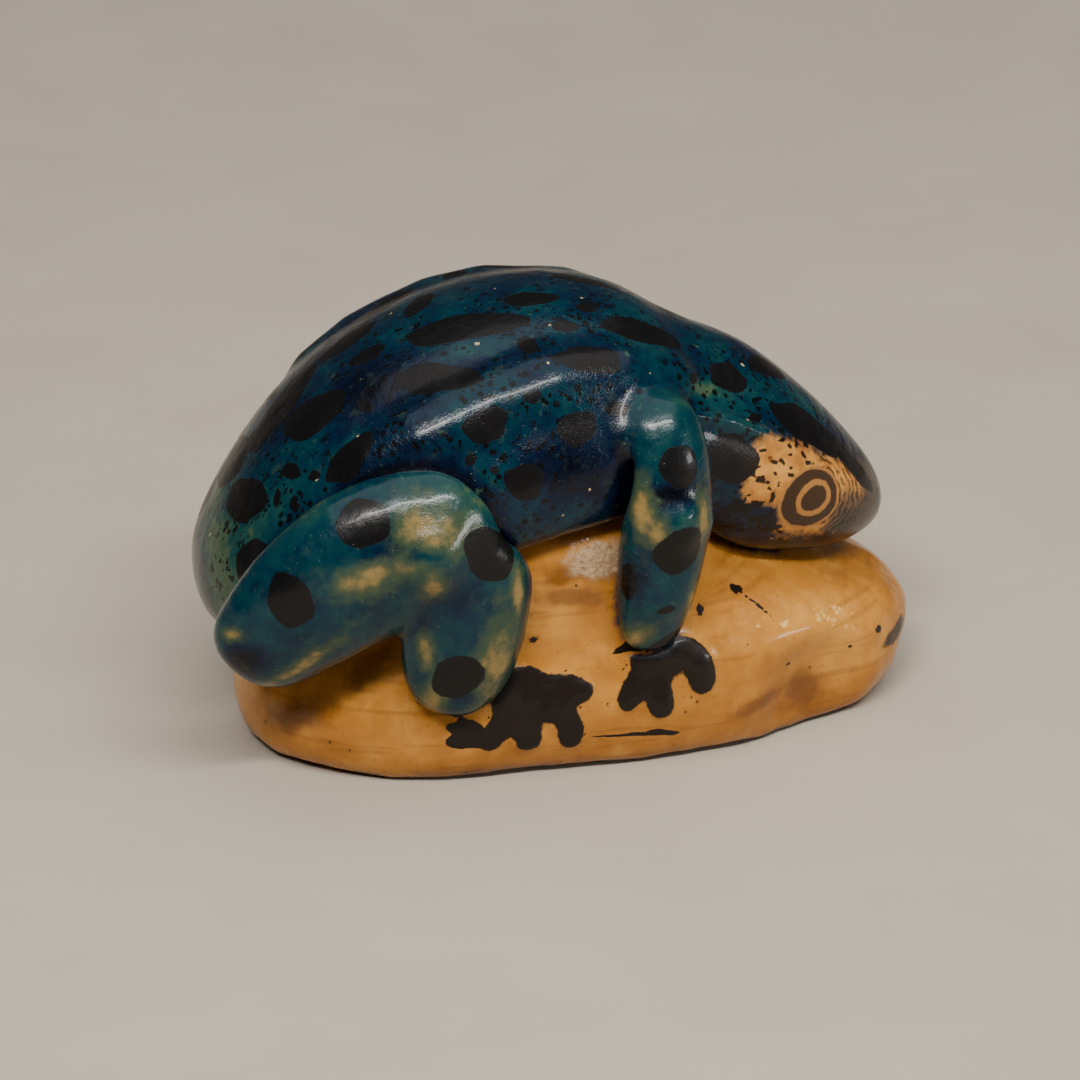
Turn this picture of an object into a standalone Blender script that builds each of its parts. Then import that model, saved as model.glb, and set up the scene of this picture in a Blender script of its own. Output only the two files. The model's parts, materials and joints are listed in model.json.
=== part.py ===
"""A dyed frog sitting on an undyed rock, carved from one vegetable-ivory nut.

The frog faces +X, its left side is +Y and it stands on Z = 0.  Lengths are written in
millimetres and turned into metres by MM.  Each carved member is a closed solid of its own;
neighbours are kept apart by GAP, along the carved grooves that divide them.
"""

import math

import bmesh
import bpy
from mathutils import Vector

MM = 0.001
GAP = 0.3            # clearance between neighbouring members
ROCK_POINTS = 32     # control points round each ring of the rock
TORSO_POINTS = 20    # the same for the torso
LIMB_POINTS = 10     # the same for a limb
GROUND_CUTTER = (80, 60, 10)    # the block that cuts the rock's underside flat

# The rock: level, rear end, front end, half width and squareness of its outline there.
ROCK_LEVELS = [
    (-2.0, -20.9, 21.9, 11.2, 2.6),
    (0.6, -22.2, 24.2, 12.5, 2.6),
    (3.4, -22.8, 25.9, 13.2, 2.5),
    (6.2, -21.9, 26.2, 12.9, 2.4),
    (8.8, -19.3, 24.3, 12.1, 2.3),
    (10.4, -17.1, 16.8, 11.6, 2.2),
    (13.0, -15.7, 11.8, 11.3, 2.2),
    (15.8, -13.7, 10.3, 11.1, 2.1),
    (18.0, -10.7, 7.9, 9.8, 2.1),
    (19.0, -6.7, 4.7, 6.0, 2.0),
]

# The torso: station, half width, lowest, widest and highest level of its section.
TORSO_STATIONS = [
    (-25.1, 2.2, 10.0, 11.4, 13.0),
    (-24.4, 5.8, 8.8, 12.0, 15.4),
    (-22.0, 9.0, 8.0, 13.2, 19.5),
    (-18.1, 11.6, 7.8, 15.4, 24.3),
    (-13.7, 13.0, 8.6, 17.4, 28.0),
    (-7.7, 13.6, 10.8, 19.4, 30.8),
    (-1.7, 13.3, 13.0, 20.4, 31.7),
    (3.9, 12.2, 13.8, 20.6, 31.1),
    (7.5, 10.4, 14.0, 20.4, 29.4),
    (9.9, 8.0, 14.6, 20.2, 27.0),
    (11.1, 4.4, 15.8, 20.0, 24.2),
]
TORSO_SQUARENESS = 2.15

# The head: station, crown level, brow (half width, level), cheek (half width, level),
# jaw (half width, level) and throat level.
HEAD_STATIONS = [
    (5.1, 28.4, (8.4, 25.0), (9.4, 20.6), (7.6, 15.0), 13.2),
    (9.3, 28.3, (8.8, 24.4), (9.8, 20.0), (8.0, 13.8), 11.6),
    (13.3, 26.7, (8.0, 22.4), (9.1, 18.2), (7.4, 12.6), 10.8),
    (17.3, 23.6, (6.3, 19.8), (7.7, 16.2), (6.2, 11.8), 10.4),
    (21.3, 19.2, (4.0, 16.6), (5.3, 14.3), (4.2, 11.2), 10.3),
    (23.9, 15.6, (1.9, 14.4), (2.6, 13.2), (2.0, 11.6), 10.8),
    (24.6, 13.9, (0.8, 13.5), (1.0, 12.9), (0.8, 12.2), 11.8),
]

# Limbs: along, outward and up position of the axis, radius in the side view and radius outward.
# The thighs differ: behind the knee the left one is drawn in, to THIGH_LENGTH of the right one.
KNEE = -9.7
THIGH_LENGTH = {"right": 1.0, "left": 0.66}
THIGH = [
    (-24.3, 9.2, 9.6, 2.2, 1.4),
    (-23.4, 9.8, 10.5, 3.9, 2.6),
    (-20.3, 11.0, 14.0, 5.3, 3.4),
    (-16.1, 11.8, 17.4, 6.0, 3.8),
    (-11.9, 12.0, 18.9, 6.0, 4.0),
    (-8.5, 11.8, 18.9, 5.3, 3.8),
    (-6.3, 11.4, 18.6, 3.2, 2.4),
]
SHANK = [
    (-9.5, 12.0, 20.0, 3.2, 2.6),
    (-9.1, 12.2, 17.6, 4.9, 3.6),
    (-8.7, 12.3, 14.6, 4.8, 3.4),
    (-9.2, 12.2, 10.8, 4.5, 3.2),
    (-9.9, 12.0, 7.6, 3.9, 2.9),
    (-10.2, 11.8, 5.7, 2.1, 1.8),
]
FORELEG = [
    (4.7, 9.4, 26.4, 2.2, 1.8),
    (5.0, 10.6, 24.6, 3.3, 2.7),
    (5.1, 12.0, 20.8, 3.5, 2.8),
    (4.9, 12.6, 17.4, 3.4, 2.6),
    (4.4, 12.3, 13.4, 2.9, 2.4),
    (3.9, 12.2, 10.2, 2.5, 2.0),
    (3.9, 12.0, 8.4, 1.7, 1.6),
]

# Feet, on the rock's side: the palm's middle, then the path of each toe, as (along, up) and radius.
TOE_RELIEF = 1.3     # radius of a toe across the rock's surface, before it is cut to the rock
TOE_SINK = 0.35      # how far the axis of a toe or palm lies inside the rock
TOE_START = 0.8      # size of a toe at the palm, as a share of its radius
TOE_TIP = 0.5        # size at its tip, and how far the tip reaches past its path
PALM_SHAPE = [(-1.0, 0.45), (-0.6, 0.85), (0.0, 1.0), (0.6, 0.85), (1.0, 0.45)]    # (up, size)
HIND_PALM = ((-5.0, 5.9), 2.5)
HIND_TOES = [
    ([(-5.6, 5.4), (-6.9, 4.2), (-7.6, 3.2)], 0.9),
    ([(-5.0, 5.6), (-4.8, 4.0), (-4.7, 2.9)], 1.0),
    ([(-4.7, 5.8), (-2.7, 5.3), (-1.6, 4.2), (-1.8, 2.8)], 1.0),
    ([(-4.7, 6.8), (-2.5, 7.0), (-0.6, 6.3)], 1.0),
]
FORE_PALM = ((4.4, 7.7), 2.3)
FORE_TOES = [
    ([(3.7, 7.6), (2.7, 6.4), (2.1, 5.1)], 0.9),
    ([(4.4, 7.4), (4.5, 5.8), (4.6, 4.4)], 1.0),
    ([(5.1, 8.4), (6.9, 8.4), (7.5, 7.2), (7.7, 5.8)], 1.2),
]

# Plain render colours; the finish is described with each one.
COLOURS = {
    "bare_nut": ((0.62, 0.33, 0.10, 1), 0.25),
    "dyed_nut": ((0.01, 0.10, 0.15, 1), 0.22),
    "black_ink": ((0.012, 0.011, 0.012, 1), 0.45),
}


def clear_scene():
    for obj in list(bpy.data.objects):
        bpy.data.objects.remove(obj)


def material(name):
    """The Principled material of that name, made the first time it is asked for."""
    found = bpy.data.materials.get(name)
    if found:
        return found
    colour, roughness = COLOURS[name]
    made = bpy.data.materials.new(name)
    made.use_nodes = True
    shader = made.node_tree.nodes["Principled BSDF"]
    shader.inputs["Base Color"].default_value = colour
    shader.inputs["Roughness"].default_value = roughness
    shader.inputs["Metallic"].default_value = 0.0
    made.diffuse_color = colour
    return made


def signed_power(value, power):
    return math.copysign(abs(value) ** power, value)


def loft(name, rings):
    """A closed skin over rings of equally many points, each end closed by a face, then smoothed."""
    mesh = bpy.data.meshes.new(name)
    skin = bmesh.new()
    rows = [[skin.verts.new(Vector(point) * MM) for point in ring] for ring in rings]
    count = len(rows[0])
    for low, high in zip(rows, rows[1:]):
        for i in range(count):
            j = (i + 1) % count
            skin.faces.new((low[i], low[j], high[j], high[i]))
    skin.faces.new(rows[0])
    skin.faces.new(rows[-1])
    bmesh.ops.recalc_face_normals(skin, faces=skin.faces)
    skin.to_mesh(mesh)
    skin.free()
    mesh.shade_smooth()
    obj = bpy.data.objects.new(name, mesh)
    bpy.context.scene.collection.objects.link(obj)
    smooth = obj.modifiers.new("smooth", "SUBSURF")
    smooth.levels = smooth.render_levels = 1
    return obj


def helper(obj):
    """Marks an object as a cutter, which is no part of the frog."""
    obj.hide_render = True
    obj.display_type = "WIRE"
    return obj


def boolean(obj, other, operation):
    change = obj.modifiers.new(f"{operation.lower()} {other.name}", "BOOLEAN")
    change.operation = operation
    change.object = other
    change.solver = "EXACT"


def grown(obj, distance):
    """A hidden copy of a loft whose skin stands off by that distance."""
    copy = bpy.data.objects.new(f"{obj.name}_grown_{distance}", obj.data)
    bpy.context.scene.collection.objects.link(copy)
    smooth = copy.modifiers.new("smooth", "SUBSURF")
    smooth.levels = smooth.render_levels = obj.modifiers["smooth"].levels
    swell = copy.modifiers.new("swell", "DISPLACE")
    swell.strength = distance * MM
    swell.mid_level = 0.0
    return helper(copy)


def rock_ring(level, rear, front, half_width, squareness):
    middle, half_length = (rear + front) / 2, (front - rear) / 2
    ring = []
    for i in range(ROCK_POINTS):
        angle = 2 * math.pi * i / ROCK_POINTS
        x = middle + half_length * signed_power(math.cos(angle), 2 / squareness)
        y = half_width * signed_power(math.sin(angle), 2 / squareness)
        ring.append((x, y, level))
    return ring


def rock_side(x, level):
    """Half width of the rock at that station and level."""
    pairs = list(zip(ROCK_LEVELS, ROCK_LEVELS[1:]))
    low, high = next(pair for pair in pairs if level <= pair[1][0])
    share = (level - low[0]) / (high[0] - low[0])
    _, rear, front, half_width, squareness = (a + share * (b - a) for a, b in zip(low, high))
    along = abs(2 * x - rear - front) / (front - rear)
    return half_width * (1 - along ** squareness) ** (1 / squareness)


def torso_ring(x, half_width, lowest, widest, highest):
    ring = []
    for i in range(TORSO_POINTS):
        angle = 2 * math.pi * i / TORSO_POINTS
        up = signed_power(math.cos(angle), 2 / TORSO_SQUARENESS)
        out = signed_power(math.sin(angle), 2 / TORSO_SQUARENESS)
        reach = highest - widest if up > 0 else widest - lowest
        ring.append((x, half_width * out, widest + reach * up))
    return ring


def head_ring(x, crown, brow, cheek, jaw, throat):
    (brow_y, brow_z), (cheek_y, cheek_z), (jaw_y, jaw_z) = brow, cheek, jaw
    half = [
        (0.5 * brow_y, crown - 0.25 * (crown - brow_z)),
        (brow_y, brow_z),
        (0.5 * (brow_y + cheek_y) + 0.15, 0.5 * (brow_z + cheek_z)),
        (cheek_y, cheek_z),
        (jaw_y, jaw_z),
        (0.55 * jaw_y, throat + 0.15 * (jaw_z - throat)),
    ]
    left = [(x, y, z) for y, z in half]
    right = [(x, -y, z) for y, z in reversed(half)]
    return [(x, 0, crown), *left, (x, 0, throat), *right]


def limb(name, joints, side):
    """A tapered member along its joints, oval across them, on the side of the frog given by +1 or -1."""
    axis = [Vector((x, side * y, z)) for x, y, z, _, _ in joints]
    outward = Vector((0, side, 0))
    rings = []
    for i, (_, _, _, wide, deep) in enumerate(joints):
        along = (axis[min(i + 1, len(axis) - 1)] - axis[max(i - 1, 0)]).normalized()
        across = along.cross(outward).normalized()
        out = across.cross(along)
        ring = []
        for k in range(LIMB_POINTS):
            angle = 2 * math.pi * k / LIMB_POINTS
            ring.append(axis[i] + across * wide * math.cos(angle) + out * deep * math.sin(angle))
        rings.append(ring)
    return loft(name, rings)


def toe(name, path, radius, side):
    """One toe lying on the rock's side along its path."""
    (x0, z0), (x1, z1) = path[-2:]
    reach = math.hypot(x1 - x0, z1 - z0)
    past = TOE_TIP * radius / reach
    tip = (x1 + past * (x1 - x0), z1 + past * (z1 - z0))
    sizes = [TOE_START] + [1.0] * (len(path) - 1) + [TOE_TIP]
    joints = [(x, rock_side(x, z) - TOE_SINK, z, radius * size, TOE_RELIEF * size)
              for (x, z), size in zip([*path, tip], sizes)]
    return limb(name, joints, side)


def foot(name, palm, toes, side, neighbours):
    """Palm and toes made one, then cut back to the rock and the leg."""
    (x, z), radius = palm
    depth = rock_side(x, z) - TOE_SINK
    joints = [(x, depth, z + up * radius, radius * size, TOE_RELIEF * size) for up, size in PALM_SHAPE]
    obj = limb(name, joints, side)
    for i, (path, size) in enumerate(toes):
        boolean(obj, helper(toe(f"{name}_toe_{i}", path, size, side)), "UNION")
    for other in neighbours:
        boolean(obj, other, "DIFFERENCE")
    obj.data.materials.append(material("black_ink"))
    return obj


def build():
    clear_scene()

    rock = loft("rock_base", [rock_ring(*level) for level in ROCK_LEVELS])
    rock.data.materials.append(material("bare_nut"))
    cutter_scale = Vector(GROUND_CUTTER) * MM
    bpy.ops.mesh.primitive_cube_add(size=1, location=(0, 0, -cutter_scale.z / 2), scale=cutter_scale)
    ground = helper(bpy.context.object)
    ground.name = "ground_cutter"
    boolean(rock, ground, "DIFFERENCE")
    rock_room = grown(rock, GAP)

    torso = loft("torso", [torso_ring(*station) for station in TORSO_STATIONS])
    torso.data.materials.append(material("dyed_nut"))
    boolean(torso, rock_room, "DIFFERENCE")
    torso_room = grown(torso, GAP)

    head = loft("head", [head_ring(*station) for station in HEAD_STATIONS])
    head.data.materials.append(material("dyed_nut"))
    boolean(head, torso_room, "DIFFERENCE")
    boolean(head, rock_room, "DIFFERENCE")
    head_room = grown(head, GAP)

    for label, side in (("right", -1), ("left", 1)):
        length = THIGH_LENGTH[label]
        thigh = [(KNEE + length * (x - KNEE) if x < KNEE else x, *rest) for x, *rest in THIGH]
        hind_leg = limb(f"{label}_hind_leg", thigh, side)
        shank = helper(limb(f"{label}_shank", SHANK, side))
        boolean(hind_leg, shank, "UNION")
        foreleg = limb(f"{label}_foreleg", FORELEG, side)
        for leg in (hind_leg, foreleg):
            leg.data.materials.append(material("dyed_nut"))
            boolean(leg, torso_room, "DIFFERENCE")
            boolean(leg, rock_room, "DIFFERENCE")
        boolean(foreleg, head_room, "DIFFERENCE")
        foot(f"{label}_hind_foot", HIND_PALM, HIND_TOES, side, [rock_room, grown(shank, GAP)])
        foot(f"{label}_forefoot", FORE_PALM, FORE_TOES, side, [rock_room, grown(foreleg, GAP)])


build()
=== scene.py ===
"""The look of a dyed vegetable-ivory frog on its bare rock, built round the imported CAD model.

Frog and rock are one carved and polished nut.  The CAD nodes are read into distance fields on a
fine grid, blended and carved there as one piece of clay, and skinned again as one closed piece
for each node, with neighbours that share their seam.  Lengths in this file are millimetres.
The frog faces +X and its left side is +Y.
"""

import json
import math

import bpy
import numpy as np
import openvdb
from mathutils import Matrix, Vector


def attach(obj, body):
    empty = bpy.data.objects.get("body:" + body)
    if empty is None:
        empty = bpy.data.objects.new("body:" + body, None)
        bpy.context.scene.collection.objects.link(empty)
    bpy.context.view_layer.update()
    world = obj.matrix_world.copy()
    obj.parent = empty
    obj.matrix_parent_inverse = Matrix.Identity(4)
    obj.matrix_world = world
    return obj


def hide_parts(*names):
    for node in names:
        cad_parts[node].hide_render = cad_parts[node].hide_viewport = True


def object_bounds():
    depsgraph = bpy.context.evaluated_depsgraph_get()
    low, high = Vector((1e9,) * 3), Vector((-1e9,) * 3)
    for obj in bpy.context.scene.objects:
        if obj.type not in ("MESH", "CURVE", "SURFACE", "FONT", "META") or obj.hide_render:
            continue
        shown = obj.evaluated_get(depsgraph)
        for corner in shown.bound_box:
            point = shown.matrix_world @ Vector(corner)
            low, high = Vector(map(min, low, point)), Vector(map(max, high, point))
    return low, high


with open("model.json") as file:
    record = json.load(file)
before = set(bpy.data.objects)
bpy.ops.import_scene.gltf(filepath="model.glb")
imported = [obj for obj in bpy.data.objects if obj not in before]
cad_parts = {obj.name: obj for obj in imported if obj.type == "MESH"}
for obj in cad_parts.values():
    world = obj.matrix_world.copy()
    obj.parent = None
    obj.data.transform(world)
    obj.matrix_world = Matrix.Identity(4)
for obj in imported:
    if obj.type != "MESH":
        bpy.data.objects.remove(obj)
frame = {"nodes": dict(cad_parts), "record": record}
CAD_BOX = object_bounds()

MM = 0.001
STEP = 0.25      # grid spacing
BAND = 3.0                              # each field is exact this far from its skin
MARGIN = 2.0                            # empty grid round the model

LOW = np.array(CAD_BOX[0]) / MM - MARGIN
SHAPE = tuple(int(n) for n in np.ceil((np.array(CAD_BOX[1]) / MM + MARGIN - LOW) / STEP))
X, Y, Z = (
    (LOW[axis] + STEP * np.arange(SHAPE[axis])).astype(np.float32).reshape(
        [-1 if i == axis else 1 for i in range(3)])
    for axis in range(3)
)

# Softening of each node's facets, mm.
SOFTNESS = {
    "rock_base": 0.9, "torso": 1.6, "head": 0.9,
    "right_hind_leg": 0.5, "left_hind_leg": 0.5,
    "right_foreleg": 0.5, "left_foreleg": 0.5,
    "right_hind_foot": 0.22, "left_hind_foot": 0.22,
    "right_forefoot": 0.22, "left_forefoot": 0.22,
}
NODES = list(SOFTNESS)
FEET = [name for name in NODES if name.endswith("foot")]
SLOTS = {row["node"]: row["material_slot"] for row in frame["record"]["subparts"]}


# ---------------------------------------------------------------- fields

def node_field(name):
    """Distance to a node's skin at each grid point, negative inside."""
    mesh = frame["nodes"][name].data
    mesh.calc_loop_triangles()
    points = np.zeros(len(mesh.vertices) * 3, np.float32)
    mesh.vertices.foreach_get("co", points)
    corners = np.zeros(len(mesh.loop_triangles) * 3, np.int32)
    mesh.loop_triangles.foreach_get("vertices", corners)
    points = (points.reshape(-1, 3) / MM - LOW) / STEP
    grid = openvdb.FloatGrid.createLevelSetFromPolygons(
        points.astype(np.float32), triangles=corners.reshape(-1, 3).astype(np.uint32),
        transform=openvdb.createLinearTransform(voxelSize=1.0), halfWidth=BAND / STEP)
    field = np.full(SHAPE, BAND / STEP, np.float32)
    grid.copyToArray(field)
    return field * STEP


def blurred(field, sigma):
    """A field smoothed by a Gaussian of that radius, edges repeated."""
    reach = max(1, int(math.ceil(3 * sigma / STEP)))
    weights = np.exp(-0.5 * (np.arange(-reach, reach + 1) * STEP / sigma) ** 2)
    weights /= weights.sum()
    for axis in range(3):
        pad = [(reach, reach) if i == axis else (0, 0) for i in range(3)]
        padded = np.pad(field, pad, mode="edge")
        out = np.zeros_like(field)
        for k, weight in enumerate(weights):
            window = [slice(None)] * 3
            window[axis] = slice(k, k + field.shape[axis])
            out += np.float32(weight) * padded[tuple(window)]
        field = out
    return field


def soft_min(a, b, reach):
    """The union of two fields, filleted over that reach."""
    share = np.clip(0.5 + 0.5 * (b - a) / reach, 0, 1)
    return b + (a - b) * share - reach * share * (1 - share)


def soft_max(a, b, reach):
    return -soft_min(-a, -b, reach)


def nearby(points, margin):
    """The part of the grid round some points, as slices."""
    points = np.array(points, float)
    first = np.floor((points.min(0) - margin - LOW) / STEP).astype(int)
    last = np.ceil((points.max(0) + margin - LOW) / STEP).astype(int) + 1
    return tuple(slice(max(0, a), min(n, b)) for a, b, n in zip(first, last, SHAPE))


def rod(points, radii, window):
    """Distance to a chain of cones with round ends, in a window of the grid."""
    x, y, z = X[window[0]], Y[:, window[1]], Z[:, :, window[2]]
    best = None
    for start, end, r0, r1 in zip(points, points[1:], radii, radii[1:]):
        (ax, ay, az), (bx, by, bz) = start, end
        dx, dy, dz = bx - ax, by - ay, bz - az
        along = ((x - ax) * dx + (y - ay) * dy + (z - az) * dz) / (dx * dx + dy * dy + dz * dz)
        along = np.clip(along, 0, 1)
        gap = np.sqrt((x - ax - along * dx) ** 2 + (y - ay - along * dy) ** 2
                      + (z - az - along * dz) ** 2) - (r0 + along * (r1 - r0))
        best = gap if best is None else np.minimum(best, gap)
    return best


def waves(height, scale, seed, octaves=3):
    """Smooth seeded noise over the grid, about that high, with features of that size."""
    dice = np.random.default_rng(seed)
    total = np.zeros(SHAPE, np.float32)
    for octave in range(octaves):
        for _ in range(6):
            direction = dice.normal(size=3)
            direction *= 2 * math.pi / (scale * 0.5 ** octave) / np.linalg.norm(direction)
            phase = dice.uniform(0, 2 * math.pi)
            bend = dice.normal(size=3)
            bend *= 2 * math.pi / (2.7 * scale * 0.5 ** octave) / np.linalg.norm(bend)
            total += 0.5 ** octave * np.sin(
                X * direction[0] + Y * direction[1] + Z * direction[2] + phase
                + 1.5 * np.sin(X * bend[0] + Y * bend[1] + Z * bend[2] + phase * 1.7)) / 4
    return height * total


def sphere(centre, radius):
    x, y, z = centre
    return np.sqrt((X - x) ** 2 + (Y - y) ** 2 + (Z - z) ** 2) - radius


def both_sides(points):
    """A route on the right side of the frog, and the same on the left."""
    return points, [(x, -y, z) for x, y, z in points]


def ramp(value, start, end):
    """0 before start, 1 after end, smooth between them."""
    share = np.clip((value - start) / (end - start), 0, 1)
    return share * share * (3 - 2 * share)


# ---------------------------------------------------------------- sculpting

# Routes on the right side, as (along, across, up).
BROW = [(8.2, -8.6, 24.2), (10.7, -8.2, 23.3), (14.3, -7.5, 21.2), (17.1, -6.4, 18.9),
        (20.1, -4.8, 16.5), (23.4, -1.8, 14.0)]
BROW_RADII = [0.3, 0.6, 0.6, 0.5, 0.4, 0.3]
FLANK = [(-14.5, -8.7, 23.4), (-11.3, -9.2, 24.9), (-6.0, -9.2, 26.9), (-2.2, -8.6, 27.7),
         (3.0, -7.8, 27.5), (7.0, -6.6, 26.4)]
FLANK_RADII = [0.8, 1.5, 1.6, 1.6, 1.4, 0.6]
ELBOW = [(3.4, -13.0, 18.6), (5.2, -13.5, 18.8), (6.8, -13.0, 18.4)]
ELBOW_RADII = [0.8, 1.6, 0.8]
ELBOW_CREASE = [(1.8, -15.6, 21.9), (4.9, -16.1, 21.5), (8.0, -15.4, 21.9)]
CREASE_RADII = [1.3, 1.5, 1.3]
HAUNCH = [(-14.5, -13.2, 17.4), (-12.0, -14.0, 18.5), (-9.8, -13.3, 17.2)]
HAUNCH_RADII = [1.2, 2.5, 1.2]
LEDGE = [(11.5, -10.2, 8.0), (16.0, -9.4, 7.0), (20.5, -7.0, 5.9), (24.0, -3.0, 5.2), (24.6, 1.5, 5.4)]
LEDGE_RADII = [0.4, 0.9, 1.0, 0.9, 0.5]
UNDERCUT = [(-4.6, -13.0, 15.0), (1.6, -12.9, 15.0)]
UNDERCUT_RADII = [1.7, 1.7]
SCOOP = [(-20.5, -14.2, 7.6), (-16.6, -14.2, 9.6)]
SCOOP_RADII = [1.5, 1.2]
# Hollows worn into the rock's sides, as the middle and the radius of the ball that cuts each.
HOLLOWS = [((19.0, -19.5, 2.5), 10.5), ((-12.0, 24.0, 4.0), 12.0), ((14.0, 21.0, 3.0), 10.5)]

# How much clay is laid all over each part, mm.
TORSO_CLAY = 0.15
HEAD_CLAY = 0.05
LEG_CLAY = 0.12
TOE_CLAY = 0.3

# The unevenness of each surface: the height and the size of its waves, mm.
BODY_WAVES = (0.05, 9)
LEG_WAVES = (0.05, 6)
ROCK_WAVES = (0.16, 11)
ROCK_RIPPLES = (0.03, 3)

# The reach of each fillet, mm.
NECK_FILLET = 2.4
BROW_FILLET = 0.5
FLANK_FILLET = 2.2
KNEE_FILLET = 1.4
CREASE_FILLET = 1.0
WRIST_FILLET = 0.8
LEDGE_FILLET = 1.6
UNDERCUT_FILLET = 0.6
HOLLOW_FILLET = 1.2
LIMB_FILLET = 0.25          # between a limb and the body, and between the frog and the rock
SHOULDER_FILLET = 1.5       # added to it where a foreleg leaves the body
SHOULDER_UP = (21.0, 25.5)      # the levels between which the shoulder's fillet sets in
SHOULDER_ALONG = (-1.0, 2.0)    # and the stations
FOOT_FILLET = 0.25
TOE_FILLET = 0.2
POLISH = 0.22               # how much polishing softens the whole carving

WRIST_RELIEF = 1.2          # how far the end of a foreleg stands off the rock
WRIST_HEIGHT = 9.0
WRIST_SPREAD = 0.6          # how much farther for each mm above that height
LEFT_HAUNCH_SLOPE = (-0.755, 0.258, 0.6)    # the left haunch is planed off, lower towards the rump
LEFT_HAUNCH_CUT = 26.0
LEFT_HAUNCH_FILLET = 2.6
GROOVE_DEPTH = 0.28         # how far the groove round a limb is cut in
GROOVE_WIDTH = 0.5
GROOVE_END = (21.0, 25.0)   # the levels between which it fades out
ROCK_GROOVE = 0.5           # depth of the groove between frog and rock, as a share of that one
FOOT_RELIEF = 0.36          # how far toes stand off the rock
FOOT_ROOT = 0.8             # how far a foot's own piece reaches into the rock


def add(field, points, radii, fillet):
    """Clay laid along a route, faired into the field."""
    window = nearby(points, max(radii) + 2 * fillet + 1)
    field[window] = soft_min(field[window], rod(points, radii, window), fillet)


def carve(field, points, radii, fillet):
    """A channel cut along a route."""
    window = nearby(points, max(radii) + 2 * fillet + 1)
    field[window] = soft_max(field[window], -rod(points, radii, window), fillet)


def sculpt(fields):
    """The whole carving as one field, and its parts, from the fields of the CAD nodes."""
    body = soft_min(fields["torso"] - TORSO_CLAY, fields["head"] - HEAD_CLAY, NECK_FILLET)
    for route in both_sides(BROW):
        add(body, route, BROW_RADII, BROW_FILLET)
    for route in both_sides(FLANK):
        add(body, route, FLANK_RADII, FLANK_FILLET)
    body += waves(*BODY_WAVES, 1)

    limbs = {name: fields[name] - LEG_CLAY for name in NODES if name.endswith("leg")}
    for name, route, radii in (("hind_leg", HAUNCH, HAUNCH_RADII), ("foreleg", ELBOW, ELBOW_RADII)):
        for side, path in zip(("right", "left"), both_sides(route)):
            add(limbs[f"{side}_{name}"], path, radii, KNEE_FILLET)
    for side, path in zip(("right", "left"), both_sides(ELBOW_CREASE)):
        foreleg = limbs[f"{side}_foreleg"]
        carve(foreleg, path, CREASE_RADII, CREASE_FILLET)
        relief = WRIST_RELIEF + WRIST_SPREAD * np.maximum(Z - WRIST_HEIGHT, 0)
        foreleg[:] = soft_max(foreleg, fields["rock_base"] - relief, WRIST_FILLET)
    slope_x, slope_y, slope_z = LEFT_HAUNCH_SLOPE
    slant = slope_x * X + slope_y * Y + slope_z * Z - LEFT_HAUNCH_CUT
    limbs["left_hind_leg"] = soft_max(limbs["left_hind_leg"], slant, LEFT_HAUNCH_FILLET)
    legs = np.minimum.reduce(list(limbs.values())) + waves(*LEG_WAVES, 2)

    rock = fields["rock_base"]
    for route in both_sides(LEDGE):
        add(rock, route, LEDGE_RADII, LEDGE_FILLET)
    for route in both_sides(UNDERCUT):
        carve(rock, route, UNDERCUT_RADII, UNDERCUT_FILLET)
    for route in both_sides(SCOOP):
        carve(rock, route, SCOOP_RADII, HOLLOW_FILLET)
    for middle, radius in HOLLOWS:
        rock = soft_max(rock, -sphere(middle, radius), HOLLOW_FILLET)
    rock += waves(*ROCK_WAVES, 3) + waves(*ROCK_RIPPLES, 4)

    # the groove round each limb, deepest where the limb leaves the body
    fade = ramp(-Z, -GROOVE_END[1], -GROOVE_END[0])
    groove = GROOVE_DEPTH * np.exp(-((legs - body) / GROOVE_WIDTH) ** 2) * fade
    fillet = LIMB_FILLET + SHOULDER_FILLET * ramp(Z, *SHOULDER_UP) * ramp(X, *SHOULDER_ALONG)
    clay = soft_min(body, legs, fillet) + groove
    groove = ROCK_GROOVE * GROOVE_DEPTH * np.exp(-((clay - rock) / GROOVE_WIDTH) ** 2)
    whole = soft_min(clay, rock, LIMB_FILLET) + groove

    for name in FEET:
        toes = soft_max(fields[name] - TOE_CLAY, rock - FOOT_RELIEF, FOOT_FILLET)
        whole = soft_min(whole, toes, TOE_FILLET)
    whole = blurred(whole, POLISH)
    return np.maximum(whole, -(Z + 0 * X + 0 * Y)), {"body": body, "legs": legs, "rock": rock}


# ---------------------------------------------------------------- skinning

def sample(field, points):
    """A field's value at points in mm, interpolated."""
    place = (points - LOW) / STEP
    base = np.clip(np.floor(place).astype(int), 0, np.array(SHAPE) - 2)
    share = np.clip(place - base, 0, 1)
    total = np.zeros(len(points))
    for i in (0, 1):
        for j in (0, 1):
            for k in (0, 1):
                weight = (np.abs(1 - i - share[:, 0]) * np.abs(1 - j - share[:, 1])
                          * np.abs(1 - k - share[:, 2]))
                total += weight * field[base[:, 0] + i, base[:, 1] + j, base[:, 2] + k]
    return total


def slope(field, points):
    """The field's gradient at points."""
    reach = 0.6 * STEP
    out = np.zeros((len(points), 3))
    for axis in range(3):
        shift = np.zeros(3)
        shift[axis] = reach
        out[:, axis] = (sample(field, points + shift) - sample(field, points - shift)) / (2 * reach)
    return out


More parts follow.
